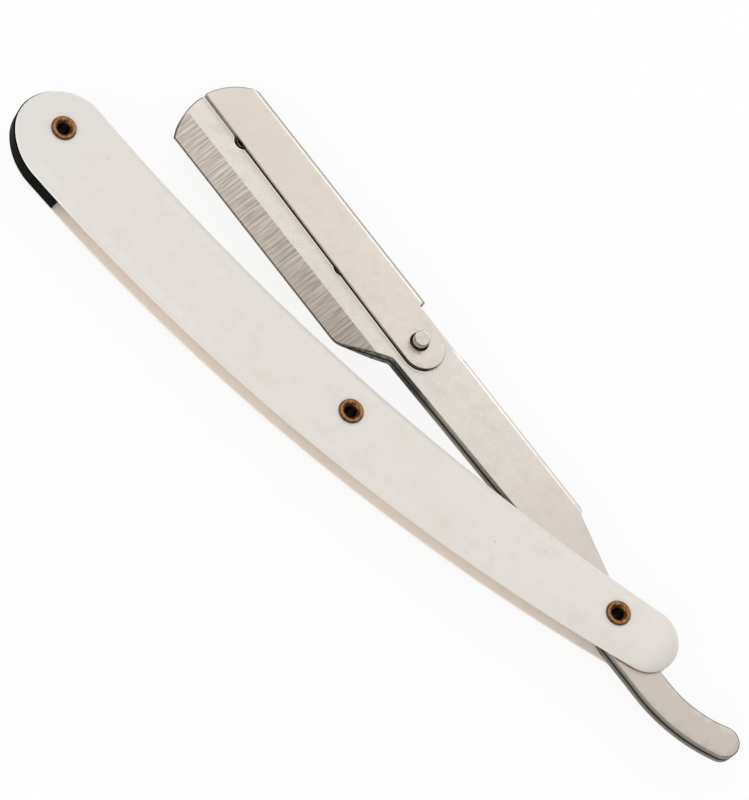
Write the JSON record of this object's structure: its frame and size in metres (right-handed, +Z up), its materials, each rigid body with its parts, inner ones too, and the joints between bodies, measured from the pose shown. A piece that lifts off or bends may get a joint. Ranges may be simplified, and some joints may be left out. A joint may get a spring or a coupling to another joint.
{
  "type": "folding razor",
  "caption": "Folding razor: curved plastic scales, ground steel blade holder with curled tail that turns on a hollow rivet, and a hinged spine clip.",
  "frame": {"origin": "middle of the razor's footprint, on the surface that it lies on", "axes": "+X along the handle from its butt to the arm's pivot, +Y from the handle towards the half-open arm, +Z up through the thickness, front scale on top"},
  "size_m": [0.171, 0.0474, 0.0103],
  "materials": {
    "scale_plastic": "aged off-white plastic with a soft shine",
    "spacer_plastic": "black plastic, soft shine",
    "aged_brass": "aged brass with brown patches",
    "satin_steel": "satin steel, cross-ground along the holder's edge",
    "clip_steel": "satin steel, bright along its bend",
    "pin_steel": "turned steel, worn bright",
    "stud_steel": "turned steel"
  },
  "bodies": {
    "handle": {"front_scale": "scale_plastic", "back_scale": "scale_plastic", "end_spacer": "spacer_plastic", "end_eyelet": "aged_brass", "middle_eyelet": "aged_brass", "pivot_eyelet": "aged_brass", "middle_sleeve": "aged_brass"},
    "arm": {"blade_arm": "satin_steel", "clip_pin": "pin_steel", "tip_stud": "stud_steel", "heel_stud": "stud_steel"},
    "clip": {"clip": "clip_steel"}
  },
  "joints": [
    {"name": "arm_pivot", "type": "hinge", "parent": "handle", "child": "arm", "pos_m": [0.0534, -0.01013, 0.00513], "axis": [0, 0, 1], "range_deg": [-290, 7]},
    {"name": "clip_pivot", "type": "hinge", "parent": "arm", "child": "clip", "pos_m": [-0.00466, 0.00605, 0.00513], "axis": [0, 0, 1], "range_deg": [-85, 0]}
  ]
}
